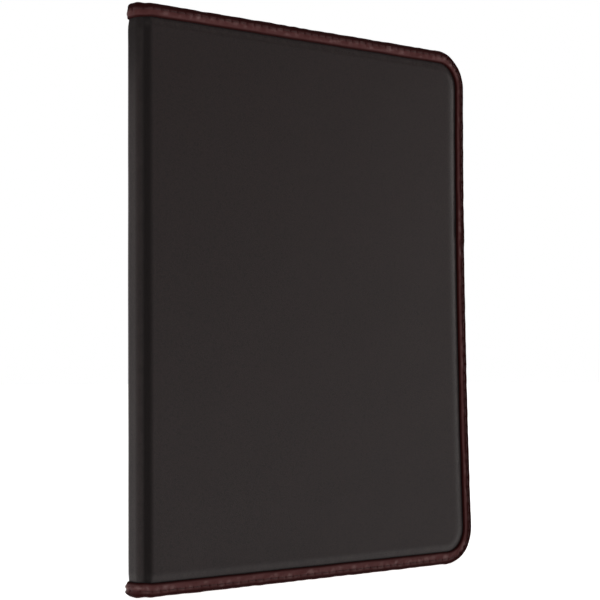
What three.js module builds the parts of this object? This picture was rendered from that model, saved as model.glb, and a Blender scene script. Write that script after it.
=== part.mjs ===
// A leather document case, closed and standing on its lower edge, with its front cover slightly sprung open.
// Millimetres, +Z up. The front cover faces -Y, the spine faces -X and the covers open at +X.
//
// One hide makes the front cover, the spine and the back cover, and a leather strip is folded over its raw
// edge all the way round. Both are laid out flat, as a maker cuts and sews them, and then wrapped round the
// spine. In the flat layout s runs from the front fore-edge, across the spine, to the back fore-edge, z runs
// from the lower edge to the top edge, and depth is the distance in from the bound outline.
import * as THREE from 'three';
import { mergeVertices } from 'three/addons/utils/BufferGeometryUtils.js';

// The closed case, without the front cover's spring.
const caseHeight = 322;
const caseWidth = 256;
const caseThickness = 16;
const foreEdgeCornerRadius = 23;

// The walls of the hide: padded and boarded over the covers, bare at the edge, the hinges and the spine.
const coverWall = 3.2;
const boundEdgeWall = 1.8;
const hingeWall = 1.4;
const spineWall = 2.6;
const padRoll = 4.5;

// The sewn binding draws the spine's two ends in from the covers' ends, and tucks its top end in under it.
const spineEndDraw = 0.7;
const spineTopTuck = 0.6;
const tuckFade = 16;

// The pressed groove on each side of the spine, in which the covers hinge.
const hingeSetback = 4.8;
const hingeReach = 3.3;
const hingeDrop = 2.6;
const hingeFade = 40;

// The strip that binds the edge, and the room between it and the hide.
const bindingWidth = 7;
const bindingWall = 1.1;
const bindingTaper = 0.3;
const bindingFlat = 2;
const bindingInsideRadius = 0.4;
const seatClearance = 0.3;

// The front cover's spring at its fore-edge: bowed in below the top, and flared out at the lower edge.
const coverBow = 0.6;
const coverFlare = 4.7;

// How finely the curves are faceted.
const coverColumns = 5;
const hingeColumns = 6;
const spineCornerColumns = 3;
const sideRows = 10;
const cornerSteps = 6;
const foldSteps = 3;
const rollSteps = 3;

// The sheet's middle line, seen from above: straight along a cover, round a corner, straight across the spine.
const edgeHalf = boundEdgeWall / 2;
const bindingSeat = edgeHalf + seatClearance;
const bindingFace = bindingSeat + bindingWall;
const spineCornerRadius = bindingFace + spineTopTuck + bindingInsideRadius;
const coverOffset = coverWall - edgeHalf;
const middleY = caseThickness / 2 - coverOffset;
const spineX = -caseWidth / 2 + spineWall / 2;
const coverRun = caseWidth / 2 - spineX - spineCornerRadius;
const cornerRun = spineCornerRadius * Math.PI / 2;
const spineRun = 2 * (middleY - spineCornerRadius);
const sheetWidth = 2 * (coverRun + cornerRun) + spineRun;
const hingeRun = caseWidth - hingeSetback;

// How far along the middle line a point lies from its nearer fore-edge.
function runFromForeEdge(s) {
  return Math.min(s, sheetWidth - s);
}

// 1 in the middle of a hinge groove, falling to 0 at its two sides.
function hingeShare(run) {
  const away = Math.min(Math.abs(run - hingeRun) / hingeReach, 1);
  return (1 + Math.cos(Math.PI * away)) / 2;
}

// The hide is pressed in along the hinges, less and less towards the bound ends.
function hingeDent(run, z) {
  const fromEnd = Math.min(z, caseHeight - z);
  const depth = hingeDrop - coverOffset + hingeWall / 2;
  return depth * hingeShare(run) * THREE.MathUtils.smoothstep(fromEnd, 0, hingeFade);
}

// 0 on the covers, rising across a hinge groove to 1 on the spine.
function spineShare(run) {
  return THREE.MathUtils.smoothstep(run, hingeRun - hingeReach, hingeRun + hingeReach);
}

// The tuck of the spine's top end, towards the space between the covers.
function topTuck(run, z) {
  return spineTopTuck * spineShare(run) * THREE.MathUtils.smoothstep(z, caseHeight - tuckFade, caseHeight);
}

// The height of a point once the binding has drawn the spine's ends in.
function drawnHeight(run, z) {
  return z + spineEndDraw * spineShare(run) * (1 - 2 * z / caseHeight);
}

// The front cover's spring at its fore-edge: a parabola down the cover, from nothing at the top edge, through
// coverBow inwards, to coverFlare outwards at the lower edge.
function foreEdgeSpring(z) {
  const down = 1 - z / caseHeight;
  const bowAt = 1 / (1 + Math.sqrt(1 + coverFlare / coverBow));
  return coverBow * ((down / bowAt - 1) ** 2 - 1);
}

// Wraps a point of the flat layout round the spine, offset outwards from the sheet's middle line.
function wrap(s, z, offset) {
  const run = runFromForeEdge(s);
  const out = offset - hingeDent(run, z) - topTuck(run, z);
  const side = s < sheetWidth / 2 ? -1 : 1;
  const turn = THREE.MathUtils.clamp((run - coverRun) / spineCornerRadius, 0, Math.PI / 2);
  const reach = spineCornerRadius + out;
  const alongCover = Math.max(coverRun - run, 0);
  const acrossSpine = Math.max(run - coverRun - cornerRun, 0);
  const x = spineX + spineCornerRadius + alongCover - reach * Math.sin(turn);
  const y = middleY - spineCornerRadius - acrossSpine + reach * Math.cos(turn);
  const springShare = side < 0 ? Math.max(1 - run / hingeRun, 0) : 0;
  return new THREE.Vector3(x, side * y - springShare * foreEdgeSpring(z), drawnHeight(run, z));
}

// The hide's wall on its outer side (side 1) or inner side (side -1) of the middle line.
function hideOffset(s, depth, side) {
  const run = runFromForeEdge(s);
  const flat = run < hingeRun ? (side > 0 ? coverOffset : edgeHalf) : spineWall / 2;
  const field = THREE.MathUtils.lerp(flat, hingeWall / 2, hingeShare(run));
  const rise = THREE.MathUtils.smoothstep(depth, bindingWidth, bindingWidth + padRoll);
  return side * THREE.MathUtils.lerp(edgeHalf, field, rise);
}

// Where the facets divide the sheet across: evenly over a cover, closer over a hinge and a spine corner.
function sheetColumns() {
  const hingeStart = hingeRun - hingeReach;
  const hingeEnd = hingeRun + hingeReach;
  const half = [];
  for (let i = 0; i < coverColumns; i += 1) {
    half.push(THREE.MathUtils.lerp(foreEdgeCornerRadius, hingeStart, i / coverColumns));
  }
  for (let i = 0; i <= hingeColumns; i += 1) {
    half.push(THREE.MathUtils.lerp(hingeStart, hingeEnd, i / hingeColumns));
  }
  for (let i = 1; i <= spineCornerColumns; i += 1) {
    half.push(THREE.MathUtils.lerp(hingeEnd, coverRun + cornerRun + spineRun / 4, i / spineCornerColumns));
  }
  const otherHalf = half.map((s) => sheetWidth - s).reverse();
  return [...half, sheetWidth / 2, ...otherHalf];
}

// Where the facets divide the sheet up its height: closer towards the two ends.
function sheetRows() {
  const rows = [];
  for (let i = 0; i <= sideRows; i += 1) {
    const share = (1 - Math.cos(Math.PI * i / sideRows)) / 2;
    rows.push(THREE.MathUtils.lerp(foreEdgeCornerRadius, caseHeight - foreEdgeCornerRadius, share));
  }
  return rows;
}

// The stations round the bound outline, each with its inward direction, anticlockwise from the lower edge.
function outlineStations(columns, rows) {
  const radius = foreEdgeCornerRadius;
  const stations = [];
  const addCorner = (s, z, startAngle) => {
    for (let i = 1; i < cornerSteps; i += 1) {
      const angle = startAngle + (i / cornerSteps) * Math.PI / 2;
      const inS = -Math.cos(angle);
      const inZ = -Math.sin(angle);
      stations.push({ s: s - radius * inS, z: z - radius * inZ, inS, inZ });
    }
  };
  columns.forEach((s) => stations.push({ s, z: 0, inS: 0, inZ: 1 }));
  addCorner(sheetWidth - radius, radius, -Math.PI / 2);
  rows.forEach((z) => stations.push({ s: sheetWidth, z, inS: -1, inZ: 0 }));
  addCorner(sheetWidth - radius, caseHeight - radius, 0);
  columns.toReversed().forEach((s) => stations.push({ s, z: caseHeight, inS: 0, inZ: -1 }));
  addCorner(radius, caseHeight - radius, Math.PI / 2);
  rows.toReversed().forEach((z) => stations.push({ s: 0, z, inS: 1, inZ: 0 }));
  addCorner(radius, radius, Math.PI);
  return stations;
}

const columns = sheetColumns();
const rows = sheetRows();
const stations = outlineStations(columns, rows);

// A closed row of wrapped points at one depth in from the outline. offsetAt gives each point's offset.
function ringAt(depth, offsetAt) {
  return stations.map((station) => {
    const s = station.s + station.inS * depth;
    const z = station.z + station.inZ * depth;
    return wrap(s, z, offsetAt(s));
  });
}

// Adds a triangle, unless two of its corners meet.
function addTriangle(corners, a, b, c) {
  const shortest = Math.min(a.distanceTo(b), b.distanceTo(c), c.distanceTo(a));
  if (shortest > 0.0001) {
    corners.push(a, b, c);
  }
}

function addQuad(corners, a, b, c, d) {
  addTriangle(corners, a, b, c);
  addTriangle(corners, a, c, d);
}

// Adds the faces between two closed rings of points.
function addBand(corners, ring, nextRing) {
  ring.forEach((point, i) => {
    const j = (i + 1) % ring.length;
    addQuad(corners, point, ring[j], nextRing[j], nextRing[i]);
  });
}

// Adds the hide's field inside the corner radius, on its outer side (side 1) or inner side (side -1).
function addField(corners, side) {
  const pointAt = (i, j) => wrap(columns[i], rows[j], hideOffset(columns[i], foreEdgeCornerRadius, side));
  for (let i = 1; i < columns.length; i += 1) {
    for (let j = 1; j < rows.length; j += 1) {
      const cell = [pointAt(i - 1, j - 1), pointAt(i - 1, j), pointAt(i, j), pointAt(i, j - 1)];
      if (side < 0) {
        cell.reverse();
      }
      addQuad(corners, ...cell);
    }
  }
}

function meshFrom(name, corners, material) {
  const geometry = mergeVertices(new THREE.BufferGeometry().setFromPoints(corners), 0.0001);
  geometry.computeVertexNormals();
  const mesh = new THREE.Mesh(geometry, material);
  mesh.name = name;
  return mesh;
}

// The hide, from the middle of its outer side, over its raw edge, to the middle of its inner side.
function makeHide(material) {
  const rawEdge = bindingWall + seatClearance;
  const ring = (depth, side) => ringAt(depth, (s) => hideOffset(s, depth, side));
  const rings = [ring(foreEdgeCornerRadius, 1)];
  for (let i = rollSteps; i >= 0; i -= 1) {
    rings.push(ring(bindingWidth + padRoll * i / rollSteps, 1));
  }
  rings.push(ring(rawEdge, 1), ring(rawEdge, -1));
  rings.push(ring(bindingWidth, -1), ring(bindingWidth + padRoll, -1), ring(foreEdgeCornerRadius, -1));
  const corners = [];
  for (let i = 1; i < rings.length; i += 1) {
    addBand(corners, rings[i - 1], rings[i]);
  }
  addField(corners, 1);
  addField(corners, -1);
  return meshFrom('leather_cover', corners, material);
}

// The binding's section as rows of depth and offset: over the outer flap, round the fold, under the inner
// flap, and back round the raw edge of the hide.
function bindingSection() {
  const foldRadius = bindingFace - bindingFlat / 2;
  const outerFlap = [
    { depth: bindingWidth, offset: bindingFace - bindingTaper },
    { depth: (bindingWidth + foldRadius) / 2, offset: bindingFace },
  ];
  for (let i = 0; i <= foldSteps; i += 1) {
    const angle = (i / foldSteps) * Math.PI / 2;
    outerFlap.push({
      depth: foldRadius * (1 - Math.sin(angle)),
      offset: bindingFlat / 2 + foldRadius * Math.cos(angle),
    });
  }
  const innerFlap = outerFlap.map(({ depth, offset }) => ({ depth, offset: -offset })).reverse();
  const throat = [
    { depth: bindingWidth, offset: -bindingSeat },
    { depth: bindingWall, offset: -bindingSeat },
    { depth: bindingWall, offset: bindingSeat },
    { depth: bindingWidth, offset: bindingSeat },
  ];
  return [...outerFlap, ...innerFlap, ...throat];
}

function makeBinding(material) {
  const rings = bindingSection().map(({ depth, offset }) => ringAt(depth, () => offset));
  const corners = [];
  rings.forEach((ring, i) => addBand(corners, ring, rings[(i + 1) % rings.length]));
  return meshFrom('edge_binding', corners, material);
}

const blackLeather = new THREE.MeshStandardMaterial({ color: '#2e2a2a', roughness: 0.55, metalness: 0 });
const burgundyLeather = new THREE.MeshStandardMaterial({ color: '#452b2c', roughness: 0.5, metalness: 0 });

// The origin is under the middle of the whole case's box.
const documentCase = new THREE.Group();
documentCase.name = 'document_case';
documentCase.add(makeHide(blackLeather), makeBinding(burgundyLeather));
const box = new THREE.Box3().setFromObject(documentCase);
const middle = box.getCenter(new THREE.Vector3());
documentCase.position.set(-middle.x, -middle.y, -box.min.z);

export default documentCase;
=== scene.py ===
import math

import bmesh
import bpy
from mathutils import Matrix, Vector, noise


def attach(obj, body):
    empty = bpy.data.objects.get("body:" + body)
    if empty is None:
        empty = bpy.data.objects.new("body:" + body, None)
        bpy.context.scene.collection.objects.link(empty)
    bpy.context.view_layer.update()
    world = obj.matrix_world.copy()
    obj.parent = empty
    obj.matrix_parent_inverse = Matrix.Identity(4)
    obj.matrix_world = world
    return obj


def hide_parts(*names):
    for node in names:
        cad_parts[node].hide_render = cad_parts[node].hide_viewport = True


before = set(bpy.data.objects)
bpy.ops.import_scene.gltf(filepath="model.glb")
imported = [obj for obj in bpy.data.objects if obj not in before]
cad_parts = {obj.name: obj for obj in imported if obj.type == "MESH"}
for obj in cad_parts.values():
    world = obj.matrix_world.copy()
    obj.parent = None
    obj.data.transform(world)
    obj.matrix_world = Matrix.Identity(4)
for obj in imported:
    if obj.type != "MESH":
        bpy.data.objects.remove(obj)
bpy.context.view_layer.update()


# The hide. One black calf leather makes both covers and the spine. It is glued over padded boards, rolls down
# to a thin edge, and is pressed into a groove on each side of the spine. It is shaped lying flat, in
# millimetres: s from the front fore-edge to the back one, z up, and offset out of the hide.
case_height = 322
case_width = 256
case_thickness = 16
corner_radius = 23
cover_wall = 3.2
edge_wall = 1.8
hinge_wall = 1.4
spine_wall = 2.6
spine_corner_radius = 3.3
cover_bow = 0.6
cover_flare = 4.7

raw_edge_inset = 1.4
bound_width = 7
roll_start = 6.2
pad_roll = 6.6
fore_edge_roll = 9.2
padding_start = 12
padding_lump = 47
padding_lump_height = 0.14
board_end = 8.5
board_end_slope = 4
board_end_drop = 0.1

hinge_setback = 4.8
hinge_reach = 3.3
hinge_drop = 2.6
hinge_fade = 40
bound_hinge_dent = 0.8
spine_end_draw = 0.7
spine_top_tuck = 0.6
tuck_fade = 16

rim_rub_depth = 10.6
rim_rub_reach = 3.2
spine_rub_reach = 3
seam_shade = (7.7, 8.7)
hinge_shade = (0.9, 3.6)
hinge_shade_shift = 0.5
past_hinge_shade = (3.2, 4.7)
head_shade = (58, 12)

deep_black = (0.018, 0.0095, 0.0094, 1)
soft_black = (0.027, 0.015, 0.0147, 1)
# Painted shade: the colour the leather is made darker to in the hinge grooves, beside the binding and at the
# spine's head.
painted_shade_black = (0.004, 0.0018, 0.0016, 1)
crease_black = (0.009, 0.006, 0.006, 1)
worn_black = (0.04, 0.032, 0.029, 1)

cover_offset = cover_wall - edge_wall / 2
middle_y = case_thickness / 2 - cover_offset
spine_x = -case_width / 2 + spine_wall / 2
cover_run = case_width / 2 - spine_x - spine_corner_radius
corner_run = spine_corner_radius * math.pi / 2
spine_run = 2 * (middle_y - spine_corner_radius)
sheet_width = 2 * (cover_run + corner_run) + spine_run
spine_middle = sheet_width / 2
hinge_run = case_width - hinge_setback
case_centre = Vector((0.5, 2.149, 0))


def ease(value, low, high):
    share = min(max((value - low) / (high - low), 0), 1)
    return share * share * (3 - 2 * share)


def between(a, b, share):
    return a + (b - a) * share


def run_from_fore_edge(s):
    return min(s, sheet_width - s)


def hinge_share(run):
    away = min(abs(run - hinge_run) / hinge_reach, 1)
    return (1 + math.cos(math.pi * away)) / 2


def hinge_dent(run, z):
    pressed = hinge_drop - cover_offset + hinge_wall / 2
    from_end = min(z, case_height - z)
    return hinge_share(run) * between(bound_hinge_dent, pressed, ease(from_end, 0, hinge_fade))


def spine_share(run):
    return ease(run, hinge_run - hinge_reach, hinge_run + hinge_reach)


def fore_edge_spring(z):
    """The front cover's spring: bowed in below its top corner, and flared out at its lower corner."""
    down = 1 - z / case_height
    bow_at = 1 / (1 + math.sqrt(1 + cover_flare / cover_bow))
    return cover_bow * ((down / bow_at - 1) ** 2 - 1)


def wrap(s, z, offset):
    """A place of the flat layout once the case is closed round its spine, in metres."""
    run = run_from_fore_edge(s)
    side = -1 if s < spine_middle else 1
    tuck = spine_top_tuck * spine_share(run) * ease(z, case_height - tuck_fade, case_height)
    turn = min(max((run - cover_run) / spine_corner_radius, 0), math.pi / 2)
    reach = spine_corner_radius + offset - hinge_dent(run, z) - tuck
    x = spine_x + spine_corner_radius + max(cover_run - run, 0) - reach * math.sin(turn)
    y = middle_y - spine_corner_radius - max(run - cover_run - corner_run, 0) + reach * math.cos(turn)
    sprung = max(1 - run / hinge_run, 0) * fore_edge_spring(z) if side < 0 else 0
    height = z + spine_end_draw * spine_share(run) * (1 - 2 * z / case_height)
    return (Vector((x, side * y - sprung, height)) + case_centre) / 1000


def from_inner(s, z):
    """The way to a place from the nearest one on the rectangle between the centres of the corners' curves."""
    near_s = min(max(s, corner_radius), sheet_width - corner_radius)
    near_z = min(max(z, corner_radius), case_height - corner_radius)
    return Vector((s - near_s, z - near_z, 0))


def depth_from_edge(s, z):
    """How far in from the bound outline a place is, up to the corners' radius."""
    return corner_radius - from_inner(s, z).length


def hide_offset(s, z, side):
    """The hide's face on its outer side (1) or inner side (-1), with the soft unevenness of its padding."""
    run = run_from_fore_edge(s)
    depth = depth_from_edge(s, z)
    flat = spine_wall / 2
    if run < hinge_run:
        flat = cover_offset if side > 0 else edge_wall / 2
        past_board = ease(run, hinge_run - board_end, hinge_run - board_end + board_end_slope)
        flat -= board_end_drop * past_board if side > 0 else 0
    if side > 0:
        lump = noise.noise(Vector((s / padding_lump, z / padding_lump, 3.1)))
        flat += padding_lump_height * lump * ease(depth, padding_start, corner_radius)
    field = between(flat, hinge_wall / 2, hinge_share(run))
    beside = abs(from_inner(s, z).normalized().x)
    rise = ease(depth, roll_start, roll_start + between(pad_roll, fore_edge_roll, beside))
    return side * between(edge_wall / 2, field, rise)


def rub_on_hide(s, z):
    """Where hands and shelves wear the hide smoother and lighter: on the padding's rolled rim and round the
    spine's two corners.
    """
    run = run_from_fore_edge(s)
    rim = 1 - min(abs(depth_from_edge(s, z) - rim_rub_depth) / rim_rub_reach, 1)
    spine_corner = 1 - min(abs(run - cover_run - corner_run / 2) / spine_rub_reach, 1)
    return max(0.8 * ease(rim, 0, 1), 0.4 * ease(spine_corner, 0, 1))


def shade_and_dullness(s, z):
    """Painted shade, with a rougher finish: the leather is made darker and rougher in and past the hinge
    grooves, beside the binding and at the spine's head, where shade falls.
    """
    run = run_from_fore_edge(s)
    hinge = 1 - ease(abs(run - hinge_run + hinge_shade_shift), *hinge_shade)
    under_binding = 1 - ease(depth_from_edge(s, z), *seam_shade)
    head = 0.85 * spine_share(run) * ease(z, case_height - head_shade[0], case_height - head_shade[1])
    past_hinge_reach = between(*past_hinge_shade, z / case_height)
    past_hinge = ease(run, hinge_run - 1, hinge_run + 1)
    past_hinge *= 1 - ease(run, hinge_run + 0.8, hinge_run + past_hinge_reach)
    return max(hinge, under_binding, head, past_hinge)


def even_steps(start, end, spacing):
    count = max(round((end - start) / spacing), 1)
    return [between(start, end, i / count) for i in range(count + 1)]


hide_mesh = bmesh.new()
bmesh.ops.create_grid(hide_mesh, x_segments=1, y_segments=1, size=0.5)
blank_size = Vector((sheet_width - 2 * raw_edge_inset, case_height - 2 * raw_edge_inset, 1))
bmesh.ops.scale(hide_mesh, vec=blank_size, verts=hide_mesh.verts)
bmesh.ops.translate(hide_mesh, vec=(spine_middle, case_height / 2, 0), verts=hide_mesh.verts)
bmesh.ops.bevel(
    hide_mesh, geom=hide_mesh.verts[:], offset=corner_radius - raw_edge_inset, offset_type="OFFSET",
    segments=16, profile=0.5, affect="VERTICES", material=-1,
)
rim_depths = [raw_edge_inset, 6, 7, 7.5, 8, 8.5, 9.1, 9.7, 10.3, 10.9, 11.5, 12.2, 13, 14, 15.4, 17.5, 20]
hide_field = hide_mesh.faces[:]
for outer_ring, inner_ring in zip(rim_depths, rim_depths[1:]):
    bmesh.ops.inset_region(
        hide_mesh, faces=hide_field, thickness=inner_ring - outer_ring,
        use_even_offset=True, use_boundary=True,
    )
half_columns = even_steps(corner_radius, hinge_run - 9, 4.5)[:-1]
half_columns += even_steps(hinge_run - 9, hinge_run - hinge_reach, 0.8)[:-1]
half_columns += even_steps(hinge_run - hinge_reach, hinge_run + hinge_reach, 0.42)[:-1]
half_columns += even_steps(hinge_run + hinge_reach, spine_middle, 0.5)
hide_columns = half_columns + [sheet_width - s for s in half_columns[:-1]]
hide_rows = even_steps(corner_radius, case_height - corner_radius, 4.5)
cuts = [((s, 0, 0), (1, 0, 0)) for s in hide_columns] + [((0, z, 0), (0, 1, 0)) for z in hide_rows]
for cut_place, cut_across in cuts:
    everything = hide_mesh.verts[:] + hide_mesh.edges[:] + hide_mesh.faces[:]
    bmesh.ops.bisect_plane(hide_mesh, geom=everything, dist=0.001, plane_co=cut_place, plane_no=cut_across)
walled = bmesh.ops.extrude_face_region(hide_mesh, geom=hide_mesh.faces[:], use_keep_orig=True)
outer_side = [v for v in walled["geom"] if isinstance(v, bmesh.types.BMVert)]
bmesh.ops.translate(hide_mesh, vec=(0, 0, 1), verts=outer_side)
rub_and_sheen_layer = hide_mesh.verts.layers.float.new("rub_and_sheen")
seam_layer = hide_mesh.verts.layers.float.new("seam")
shade_and_dull_layer = hide_mesh.verts.layers.float.new("shade_and_dull")
for vert in hide_mesh.verts:
    s, z, outer = vert.co
    vert[rub_and_sheen_layer] = rub_on_hide(s, z)
    vert[seam_layer] = 1 - ease(depth_from_edge(s, z), bound_width, 16)
    vert[shade_and_dull_layer] = shade_and_dullness(s, z)
    vert.co = wrap(s, z, hide_offset(s, z, 1 if outer > 0.5 else -1))
bmesh.ops.recalc_face_normals(hide_mesh, faces=hide_mesh.faces[:])


def finish_piece(name, mesh, material, replaced):
    """Makes the object, smooth and in its place, rides it on the root body, and hides the part it replaces.
    """
    data = bpy.data.meshes.new(name)
    mesh.to_mesh(data)
    mesh.free()
    for polygon in data.polygons:
        polygon.use_smooth = True
    data.materials.append(material)
    piece = bpy.data.objects.new(name, data)
    bpy.context.scene.collection.objects.link(piece)
    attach(piece, "root")
    if replaced:
        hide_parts(replaced)
    return piece


def add_node(tree, kind, values=None, **settings):
    """Adds a shader node with its settings, and gives its inputs their values or links."""
    made = tree.nodes.new(kind)
    for name, value in settings.items():
        setattr(made, name, value)
    for socket, value in (values or {}).items():
        if isinstance(value, bpy.types.NodeSocket):
            tree.links.new(value, made.inputs[socket])
        else:
            made.inputs[socket].default_value = value
    return made


def multiplied(tree, first, second):
    return add_node(tree, "ShaderNodeMath", {0: first, 1: second}, operation="MULTIPLY").outputs[0]


def raised(tree, base, value, factor):
    """A base value raised by a factor of another, such as a roughness by the depth of the creases."""
    values = {0: value, 1: factor, 2: base}
    return add_node(tree, "ShaderNodeMath", values, operation="MULTIPLY_ADD").outputs[0]


def remapped(tree, value, given, wanted=(0, 1), shape="LINEAR"):
    """A value brought from one range into another."""
    ends = {"From Min": given[0], "From Max": given[1], "To Min": wanted[0], "To Max": wanted[1]}
    return add_node(tree, "ShaderNodeMapRange", {"Value": value, **ends}, interpolation_type=shape).outputs[0]


def mixed(tree, share, first, second):
    """A colour between two others, by a share that changes over the surface."""
    return add_node(tree, "ShaderNodeMix", {0: share, 6: first, 7: second}, data_type="RGBA").outputs[2]


def mottled(tree, patches_per_metre, detail, roughness=0.5):
    """Soft patches over the surface."""
    surface = add_node(tree, "ShaderNodeTexCoord").outputs["Object"]
    values = {"Vector": surface, "Scale": patches_per_metre, "Detail": detail, "Roughness": roughness}
    return add_node(tree, "ShaderNodeTexNoise", values).outputs[0]


def painted(tree, attribute):
    return add_node(tree, "ShaderNodeAttribute", attribute_name=attribute).outputs["Fac"]


def bumped(tree, height, strength, distance, under=None):
    values = {"Height": height, "Strength": strength, "Distance": distance}
    if under:
        values["Normal"] = under
    return add_node(tree, "ShaderNodeBump", values).outputs[0]


def new_material(name):
    material = bpy.data.materials.new(name)
    material.use_nodes = True
    return material, material.node_tree, material.node_tree.nodes["Principled BSDF"]


def finish_surface(tree, shader, colour, roughness, normal):
    tree.links.new(colour, shader.inputs["Base Color"])
    tree.links.new(roughness, shader.inputs["Roughness"])
    tree.links.new(normal, shader.inputs["Normal"])


def new_effect(name, inputs, outputs):
    """A node group with named inputs and outputs, its input node and its output node."""
    group = bpy.data.node_groups.new(name, "ShaderNodeTree")
    for label, kind, value in inputs:
        group.interface.new_socket(name=label, in_out="INPUT", socket_type=kind).default_value = value
    for label, kind in outputs:
        group.interface.new_socket(name=label, in_out="OUTPUT", socket_type=kind)
    return group, group.nodes.new("NodeGroupInput"), group.nodes.new("NodeGroupOutput")


# Calf grain: small soft pebbles with creases between them, over a slower unevenness of the skin.
calf_grain, grain_in, grain_out = new_effect(
    "calf grain",
    [("Pebbles per metre", "NodeSocketFloat", 1300.0)],
    [("Height", "NodeSocketFloat"), ("Crease", "NodeSocketFloat")],
)
surface = add_node(calf_grain, "ShaderNodeTexCoord").outputs["Object"]
bend = add_node(calf_grain, "ShaderNodeTexNoise", {"Vector": surface, "Scale": 420.0, "Detail": 1.0})
bent = add_node(
    calf_grain, "ShaderNodeVectorMath",
    {0: bend.outputs["Color"], 1: (0.0009, 0.0009, 0.0009), 2: surface}, operation="MULTIPLY_ADD",
)
pebbles = add_node(
    calf_grain, "ShaderNodeTexVoronoi",
    {"Vector": bent.outputs[0], "Scale": grain_in.outputs["Pebbles per metre"]}, feature="DISTANCE_TO_EDGE",
)
domed = remapped(calf_grain, pebbles.outputs["Distance"], (0, 0.28), shape="SMOOTHSTEP")
grain_height = raised(calf_grain, mottled(calf_grain, 260.0, 3.0, 0.6), domed, 0.55)
crease = add_node(calf_grain, "ShaderNodeMath", {0: 1.0, 1: domed}, operation="SUBTRACT")
calf_grain.links.new(grain_height, grain_out.inputs["Height"])
calf_grain.links.new(crease.outputs[0], grain_out.inputs["Crease"])

# Rubbing: the finish turns lighter in broken patches where the piece's rub value is high: wear on the hide,
# and wear with a painted highlight on the binding's puffed crown.
rubbing, rub_in, rub_out = new_effect(
    "rubbed finish",
    [
        ("Finish", "NodeSocketColor", (0.03, 0.03, 0.03, 1)),
        ("Worn finish", "NodeSocketColor", (0.1, 0.1, 0.1, 1)),
        ("Rub", "NodeSocketFloat", 0.0),
        ("Amount", "NodeSocketFloat", 0.5),
    ],
    [("Color", "NodeSocketColor")],
)
broken = remapped(rubbing, mottled(rubbing, 190.0, 4.0), (0.42, 0.68), shape="SMOOTHSTEP")
worn = multiplied(rubbing, multiplied(rubbing, broken, rub_in.outputs["Rub"]), rub_in.outputs["Amount"])
rubbed = mixed(rubbing, worn, rub_in.outputs["Finish"], rub_in.outputs["Worn finish"])
rubbing.links.new(rubbed, rub_out.inputs["Color"])

black_leather, tree, leather = new_material("black calf leather")
grain = add_node(tree, "ShaderNodeGroup", node_tree=calf_grain)
rub_and_sheen = painted(tree, "rub_and_sheen")
shade_and_dull = painted(tree, "shade_and_dull")
dye_patches = mottled(tree, 28.0, 4.0)
# Painted shade: the dye is made darker in the hinge grooves, beside the binding and at the spine's head.
dye = mixed(tree, shade_and_dull, mixed(tree, dye_patches, deep_black, soft_black), painted_shade_black)
dye = mixed(tree, grain.outputs["Crease"], dye, crease_black)
rubbed_black = add_node(
    tree, "ShaderNodeGroup", {"Finish": dye, "Worn finish": worn_black, "Rub": rub_and_sheen, "Amount": 0.35},
    node_tree=rubbing,
)
polish = remapped(tree, dye_patches, (0, 1), (0.42, 0.34))
polish = raised(tree, polish, grain.outputs["Crease"], 0.12)
polish = raised(tree, polish, rub_and_sheen, -0.13)
polish = raised(tree, polish, shade_and_dull, 0.42)
puckered = multiplied(tree, mottled(tree, 210.0, 1.0), painted(tree, "seam"))
pucker_bump = bumped(tree, puckered, 0.4, 0.0004)
grain_bump = bumped(tree, grain.outputs["Height"], 0.5, 0.00009, under=pucker_bump)
finish_surface(tree, leather, rubbed_black.outputs["Color"], polish, grain_bump)
leather.inputs["Specular IOR Level"].default_value = 0.3

hide = finish_piece("hide", hide_mesh, black_leather, "leather_cover")


# The binding. A strip of thin burgundy leather is folded over the hide's raw edge all round the case and sewn
# through near its middle. The stitches pull it down into two puffed lobes, it gathers round the corners, and
# its two ends lap on the front fore-edge. Its outline is extruded ring by ring through the folded section.
stitch_depth = 3.5
stitch_count = 294
stations_per_stitch = 8
strip_wall = 1.1
seat = 1.05
lap_start = 201.5
lap_length = 11
lap_swell = 0.28
foot_swell = 0.55
head_stand = 0.8
foot_stand = 0.6
hole_depth = 0.42
gather_height = 0.34
gather_pitch = 3.9
slow_puff = 0.14
quick_puff = 0.55
stitch_pull = 0.14

deep_burgundy = (0.06, 0.014, 0.0137, 1)
light_burgundy = (0.108, 0.041, 0.0405, 1)
# Painted highlight of the binding's puffed crown, with its wear.
crown_highlight_burgundy = (0.2, 0.118, 0.114, 1)
# Painted shade colour of the binding, in its holes, seam side, fold and fore-edges.
painted_shade_burgundy = (0.018, 0.0011, 0.0009, 1)

row_corner = (corner_radius - stitch_depth) * math.pi / 2
long_run = sheet_width - 2 * corner_radius
short_run = case_height - 2 * corner_radius
row_length = 2 * (long_run + short_run) + 4 * row_corner
stitch_pitch = row_length / stitch_count


def along_row(s, z):
    """How far along the stitch row a place is, from the lower front corner, and the row's heading there."""
    reach = from_inner(s, z)
    near_s = s - reach.x
    near_z = z - reach.y
    heading = math.atan2(reach.x, -reach.y) % (2 * math.pi)
    heading = 0 if heading > 2 * math.pi - 0.00001 else heading
    quarter = int(heading / (math.pi / 2) + 0.00001)
    travelled = [
        near_s - corner_radius,
        long_run + near_z - corner_radius,
        long_run + short_run + sheet_width - corner_radius - near_s,
        2 * long_run + short_run + case_height - corner_radius - near_z,
    ][quarter]
    return travelled + row_corner * heading / (math.pi / 2), heading


def hole_share(along, depth):
    """1 at a needle hole of the stitch row, falling to 0 a little over a millimetre from it."""
    from_hole = (along / stitch_pitch + 0.5) % 1 - 0.5
    return 1 - ease(math.hypot(from_hole * stitch_pitch, depth - stitch_depth), 0.1, 1.15)


def lap_share(s, z, depth):
    """1 where the strip's end lies over its beginning, on the front fore-edge."""
    if s > corner_radius:
        return 0
    slanted = z - 0.35 * depth
    lap_end = lap_start + lap_length
    return ease(slanted, lap_start, lap_start + 0.8) * (1 - ease(slanted, lap_end, lap_end + 4))


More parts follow.
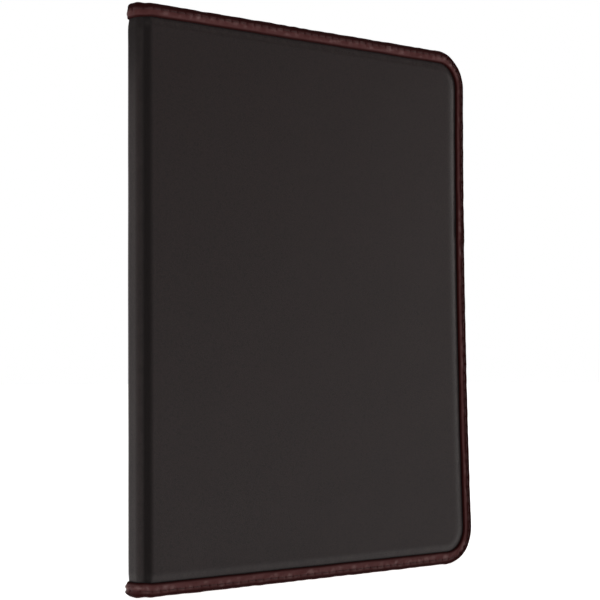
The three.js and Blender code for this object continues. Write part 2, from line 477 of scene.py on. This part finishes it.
def shaped_strip(s, z, depth, offset):
    """A place of the strip's plain section after sewing: its new depth and offset."""
    side = 1 if offset > 0 else -1
    along, heading = along_row(s, z)
    run = run_from_fore_edge(s)
    on_face = ease(abs(offset), 1.2, 2.0)
    into_corner = heading % (math.pi / 2)
    in_corner = 1 - abs(into_corner / (math.pi / 4) - 1) if into_corner > 0.0001 else 0
    slow = noise.noise(Vector((along / 13, side * 2.2, 7.7)))
    quick = noise.noise(Vector((along / 6.5 + depth / 2.6, depth / 3.5, side * 5.3)))
    pull = 0.5 + 0.5 * math.cos(2 * math.pi * along / stitch_pitch)
    puff = on_face * (slow_puff * slow + quick_puff * quick - stitch_pull * pull)
    puff *= ease(depth, 0.6, 2.8) * (1 - ease(depth, 5.4, 7.4))
    puff *= 1 - 0.65 * (1 - ease(abs(depth - stitch_depth), 0.2, 1.2))
    gather = on_face * in_corner * gather_height * math.sin(2 * math.pi * along / gather_pitch + depth)
    gather *= ease(depth, 0.3, 1.5) * (1 - ease(depth, 4.5, 6.5))
    hole = on_face * hole_depth * hole_share(along, depth)
    swell = 0
    if side > 0:
        lobe = math.sin(math.pi * min(max(depth / stitch_depth, 0), 2)) ** 2
        at_foot = spine_share(run) * (1 - ease(z, 4, 12))
        swell = on_face * (foot_swell * at_foot * lobe + lap_swell * lap_share(s, z, depth))
    snug = 1 - 0.6 * spine_share(run) if side < 0 else 1
    wave = 0.2 + 0.3 * noise.noise(Vector((along / 5.5, 0.4, 1.9)))
    stand = head_stand if z > case_height / 2 else foot_stand
    stand *= ease(run, spine_middle - 8, spine_middle - 2) * (1 - ease(depth, 0.5, 3.2))
    edge_wave = wave * (1 - ease(depth, 0, 3)) - 0.22 * slow * ease(depth, 5.4, 7.4) - stand
    return depth + edge_wave, offset + side * snug * (puff + gather + swell - hole)


def painted_shade_on_binding(along, heading, depth, offset):
    """Painted shade on the binding: darker in the needle holes, along its seam side, round the fold, and down
    the fore-edges.

    The painted shade round the fold is narrowest at the foot, where the floor lights the strip, and widest
    down the fore-edges, which are in shade.
    """
    # Painted shade: the upright fore-edge runs are made darker as they are in shade, and the foot less as the
    # floor lights it.
    upright = abs(math.sin(heading))
    lit_foot = 0.3 * math.cos(heading)
    fold = 1 - ease(depth, 1.95 - lit_foot + 2 * upright, 3.2 - lit_foot + 2.5 * upright)
    fold_shade = between(0.22 * (1 - ease(depth, 2.5, 5)), 1, fold) * ease(abs(offset), 0.8, 1.9)
    seam_side_shade = ease(depth, 6.3, 7.4)
    return min(0.27 * upright + 0.55 * hole_share(along, depth) + 0.97 * (seam_side_shade + fold_shade), 1)


outer_flap = [
    (7.7, 1.16), (7.8, 1.42), (7.6, 1.75), (7.1, 2.03), (6.4, 2.26), (5.7, 2.42), (4.9, 2.48), (4.1, 2.44),
    (3.5, 2.36), (2.9, 2.42), (2.3, 2.42), (1.7, 2.28), (1.15, 2.02), (0.7, 1.72), (0.35, 1.4), (0.1, 1.05),
    (0, 0.7),
]
inner_flap = [
    (0, -0.7), (0.15, -1.3), (0.75, -2.0), (1.9, -2.3), (3.5, -2.15), (5.4, -2.32), (6.8, -1.95),
    (7.0, -seat),
]
throat = [(strip_wall, -1.15), (strip_wall, 1.15)]
strip_section = outer_flap + inner_flap + throat


def move_to(verts, depth, offset):
    """Moves a ring of the strip to a depth in from the outline and an offset from the hide's middle."""
    for vert in verts:
        reach = from_inner(vert.co.x, vert.co.y)
        inner = Vector((vert.co.x, vert.co.y, 0)) - reach
        vert.co = inner + reach.normalized() * (corner_radius - depth) + Vector((0, 0, offset))


strip_mesh = bmesh.new()
bmesh.ops.create_grid(strip_mesh, x_segments=1, y_segments=1, size=0.5)
bmesh.ops.scale(strip_mesh, vec=(sheet_width, case_height, 1), verts=strip_mesh.verts)
bmesh.ops.translate(strip_mesh, vec=(spine_middle, case_height / 2, 0), verts=strip_mesh.verts)
corner_stations = round(row_corner / stitch_pitch * stations_per_stitch)
bmesh.ops.bevel(
    strip_mesh, geom=strip_mesh.verts[:], offset=corner_radius, offset_type="OFFSET",
    segments=corner_stations, profile=0.5, affect="VERTICES", material=-1,
)
bmesh.ops.delete(strip_mesh, geom=strip_mesh.faces[:], context="FACES_ONLY")
for straight in [edge for edge in strip_mesh.edges if edge.calc_length() > corner_radius]:
    stations = round(straight.calc_length() / stitch_pitch * stations_per_stitch)
    bmesh.ops.subdivide_edges(strip_mesh, edges=[straight], cuts=stations - 1)
first_ring = strip_mesh.edges[:]
move_to(strip_mesh.verts, *strip_section[0])
ring = first_ring
for depth, offset in strip_section[1:]:
    grown = bmesh.ops.extrude_edge_only(strip_mesh, edges=ring)["geom"]
    ring_verts = {v for v in grown if isinstance(v, bmesh.types.BMVert)}
    ring = [e for e in grown if isinstance(e, bmesh.types.BMEdge) and ring_verts.issuperset(e.verts)]
    move_to(ring_verts, depth, offset)
bmesh.ops.bridge_loops(strip_mesh, edges=first_ring + ring)
rub_and_sheen_layer = strip_mesh.verts.layers.float.new("rub_and_sheen")
dark_layer = strip_mesh.verts.layers.float.new("dark")
for vert in strip_mesh.verts:
    s, z, offset = vert.co
    depth = depth_from_edge(s, z)
    new_depth, new_offset = shaped_strip(s, z, depth, offset)
    outward = from_inner(s, z).normalized()
    # Painted highlight and wear: the puffed crown, where the strip catches the light, gets the lighter
    # finish.
    vert[rub_and_sheen_layer] = ease(abs(new_offset), 2.2, 2.7)
    vert[dark_layer] = painted_shade_on_binding(*along_row(s, z), depth, offset)
    vert.co = wrap(s + outward.x * (depth - new_depth), z + outward.y * (depth - new_depth), new_offset)
bmesh.ops.recalc_face_normals(strip_mesh, faces=strip_mesh.faces[:])

burgundy_leather, tree, leather = new_material("burgundy binding leather")
grain = add_node(tree, "ShaderNodeGroup", {"Pebbles per metre": 1900.0}, node_tree=calf_grain)
dark = painted(tree, "dark")
dye_patches = mottled(tree, 95.0, 4.0)
dye = mixed(tree, dye_patches, deep_burgundy, light_burgundy)
# Painted highlight and wear: broken lighter patches on the binding's puffed crown.
highlighted_burgundy = add_node(
    tree, "ShaderNodeGroup",
    {"Finish": dye, "Worn finish": crown_highlight_burgundy, "Rub": painted(tree, "rub_and_sheen"), "Amount": 0.8},
    node_tree=rubbing,
)
# Painted shade: the binding is mixed towards its shade colour in the needle holes, the seam side, the fold
# and down the fore-edges.
binding_colour = mixed(tree, dark, highlighted_burgundy.outputs["Color"], painted_shade_burgundy)
polish = raised(tree, remapped(tree, dye_patches, (0, 1), (0.34, 0.5)), dark, 0.5)
grain_bump = bumped(tree, grain.outputs["Height"], 0.45, 0.00006)
finish_surface(tree, leather, binding_colour, polish, grain_bump)
leather.inputs["Specular IOR Level"].default_value = 0.1

finish_piece("binding", strip_mesh, burgundy_leather, "edge_binding")


# The stitching. One row of burgundy thread, sewn through the binding and the hide from hole to hole all round
# the case. Each stitch lies in the row's valley, bowed so that its two ends go down into the holes.
thread_width = 0.55
thread_height = 0.46
stitch_gap = 0.35
stitch_bow = 0.55
outer_row_offset = 2.36
inner_row_offset = 2.12
spine_tightness = 0.1

deep_thread = (0.04, 0.0068, 0.0065, 1)
faded_thread = (0.066, 0.0125, 0.012, 1)
ply_groove = (0.024, 0.0036, 0.0033, 1)

stitch_mesh = bmesh.new()
stitch_mesh.loops.layers.uv.new("thread")
first = bmesh.ops.create_uvsphere(stitch_mesh, u_segments=6, v_segments=8, radius=0.5, calc_uvs=True)["verts"]
bmesh.ops.rotate(stitch_mesh, cent=(0, 0, 0), matrix=Matrix.Rotation(math.pi / 2, 3, "Y"), verts=first)
bmesh.ops.scale(stitch_mesh, vec=(stitch_pitch - stitch_gap, thread_width, thread_height), verts=first)
for vert in first:
    half = vert.co.x / (stitch_pitch / 2)
    vert.co.z -= stitch_bow * half ** 4
bmesh.ops.translate(stitch_mesh, vec=(stitch_pitch / 2, 0, 0), verts=first)
laid = 1
for times in (7, 7, 3, 2):
    laid_stitches = stitch_mesh.verts[:] + stitch_mesh.edges[:] + stitch_mesh.faces[:]
    for step in range(1, times):
        copied = bmesh.ops.duplicate(stitch_mesh, geom=laid_stitches)["geom"]
        copied_verts = [v for v in copied if isinstance(v, bmesh.types.BMVert)]
        bmesh.ops.translate(stitch_mesh, vec=(step * laid * stitch_pitch, 0, 0), verts=copied_verts)
    laid *= times
outer_row = stitch_mesh.verts[:] + stitch_mesh.edges[:] + stitch_mesh.faces[:]
copied = bmesh.ops.duplicate(stitch_mesh, geom=outer_row)["geom"]
inner_row = {v for v in copied if isinstance(v, bmesh.types.BMVert)}


def row_place(along, depth):
    """The place of the flat layout after a length along the stitch row, at a depth in from the outline."""
    centre = Vector((corner_radius, corner_radius))
    heading = 0
    for straight in (long_run, short_run, long_run, short_run):
        ahead = min(along, straight)
        centre += Vector((math.cos(heading), math.sin(heading))) * ahead
        along -= ahead
        turned = min(along, row_corner) / row_corner * math.pi / 2
        heading += turned
        along -= row_corner * turned / (math.pi / 2)
        if turned < math.pi / 2:
            break
    return centre + Vector((math.sin(heading), -math.cos(heading))) * (corner_radius - depth)


for vert in stitch_mesh.verts:
    along, across, bow = vert.co
    place = row_place(along, stitch_depth + across)
    tight = spine_tightness * spine_share(run_from_fore_edge(place.x))
    offset = -(inner_row_offset + bow - tight) if vert in inner_row else outer_row_offset + bow
    vert.co = wrap(place.x, place.y, offset)
bmesh.ops.recalc_face_normals(stitch_mesh, faces=stitch_mesh.faces[:])

burgundy_thread, tree, thread = new_material("burgundy thread")
laid_along = add_node(tree, "ShaderNodeUVMap", uv_map="thread").outputs[0]
twisted = add_node(tree, "ShaderNodeMapping", {"Vector": laid_along, "Scale": (1.0, 3.0, 1.0)}).outputs[0]
wave = add_node(tree, "ShaderNodeTexWave", {"Vector": twisted, "Scale": 1.6}, bands_direction="DIAGONAL")
plies = wave.outputs["Fac"]
dye = mixed(tree, mottled(tree, 160.0, 2.0), deep_thread, faded_thread)
gloss = remapped(tree, plies, (0, 1), (0.85, 0.65))
finish_surface(tree, thread, mixed(tree, plies, ply_groove, dye), gloss, bumped(tree, plies, 0.5, 0.0001))

finish_piece("stitching", stitch_mesh, burgundy_thread, None)


# The set. A white paper floor, and white studio light from behind and from the sides, with the darker room on
# the camera's side, so that the front cover stays dark and its rolled edges catch the light.
light_colour = (1, 0.96, 0.93)
room_colour = (1.0, 0.95, 0.935, 1)
camera_place = (-0.67685, -0.75038, 0.12615)
camera_yaw = math.radians(41.704)
camera_pitch = math.radians(2.07)
camera_roll = math.radians(0.254)

floor_mesh = bmesh.new()
bmesh.ops.create_circle(floor_mesh, cap_ends=True, segments=96, radius=9)
floor_data = bpy.data.meshes.new("paper_floor")
floor_mesh.to_mesh(floor_data)
floor_mesh.free()
paper, tree, sheet = new_material("white paper")
seen = add_node(tree, "ShaderNodeLightPath").outputs["Is Camera Ray"]
sheet.inputs["Base Color"].default_value = (0.9, 0.9, 0.9, 1)
sheet.inputs["Roughness"].default_value = 0.9
sheet.inputs["Specular IOR Level"].default_value = 0.1
sheet.inputs["Emission Color"].default_value = (1, 1, 1, 1)
tree.links.new(remapped(tree, seen, (0, 1), (0.7, 0.92)), sheet.inputs["Emission Strength"])
floor_data.materials.append(paper)
paper_floor = bpy.data.objects.new("paper_floor", floor_data)
bpy.context.scene.collection.objects.link(paper_floor)

studio = bpy.data.worlds.new("studio")
studio.use_nodes = True
bpy.context.scene.world = studio
tree = studio.node_tree
tree.nodes.clear()
towards = add_node(tree, "ShaderNodeTexCoord").outputs["Generated"]
axes = add_node(tree, "ShaderNodeSeparateXYZ", {0: towards})
behind = remapped(tree, axes.outputs["Y"], (-0.15, 0.35), shape="SMOOTHSTEP")
back_light = remapped(tree, axes.outputs["Z"], (0.08, 0.36), (1.18, 0.13), shape="SMOOTHSTEP")
room_light = remapped(tree, axes.outputs["Z"], (0.25, 0.6), (0.25, 0.42), shape="SMOOTHSTEP")
lit = add_node(tree, "ShaderNodeMix", {0: behind, 2: room_light, 3: back_light})
room = add_node(tree, "ShaderNodeBackground", {"Color": room_colour, "Strength": lit.outputs[0]})
sweep = add_node(tree, "ShaderNodeBackground", {"Color": (1, 1, 1, 1), "Strength": 1.0})
seen = add_node(tree, "ShaderNodeLightPath").outputs["Is Camera Ray"]
shown = add_node(tree, "ShaderNodeMixShader", {0: seen, 1: room.outputs[0], 2: sweep.outputs[0]})
tree.links.new(shown.outputs[0], add_node(tree, "ShaderNodeOutputWorld").inputs["Surface"])
bpy.context.scene.view_settings.view_transform = "Standard"


def softbox(name, place, towards, wide, high, watts):
    data = bpy.data.lights.new(name, "AREA")
    data.shape = "RECTANGLE"
    data.size = wide
    data.size_y = high
    data.energy = watts
    data.color = light_colour
    light = bpy.data.objects.new(name, data)
    light.location = place
    light.rotation_mode = "QUATERNION"
    light.rotation_quaternion = (Vector(towards) - Vector(place)).to_track_quat("-Z", "Y")
    bpy.context.scene.collection.objects.link(light)


softbox("top_light", (0, 0.2, 2.6), (0, 0, 0), 3, 3, 13)
softbox("right_light", (1.45, -0.41, 0.4), (0.12, 0, 0.2), 0.28, 0.42, 1.1)

camera_data = bpy.data.cameras.new("photo_camera")
camera_data.sensor_width = 36
camera_data.lens = 103.12
photo_camera = bpy.data.objects.new("photo_camera", camera_data)
bpy.context.scene.collection.objects.link(photo_camera)
forward = Vector((
    math.sin(camera_yaw) * math.cos(camera_pitch), math.cos(camera_yaw) * math.cos(camera_pitch),
    math.sin(camera_pitch),
))
level = forward.cross(Vector((0, 0, 1))).normalized()
right = Matrix.Rotation(camera_roll, 3, forward) @ level
up = right.cross(forward)
photo_camera.matrix_world = Matrix((right, up, -forward)).transposed().to_4x4()
photo_camera.location = camera_place
bpy.context.scene.camera = photo_camera
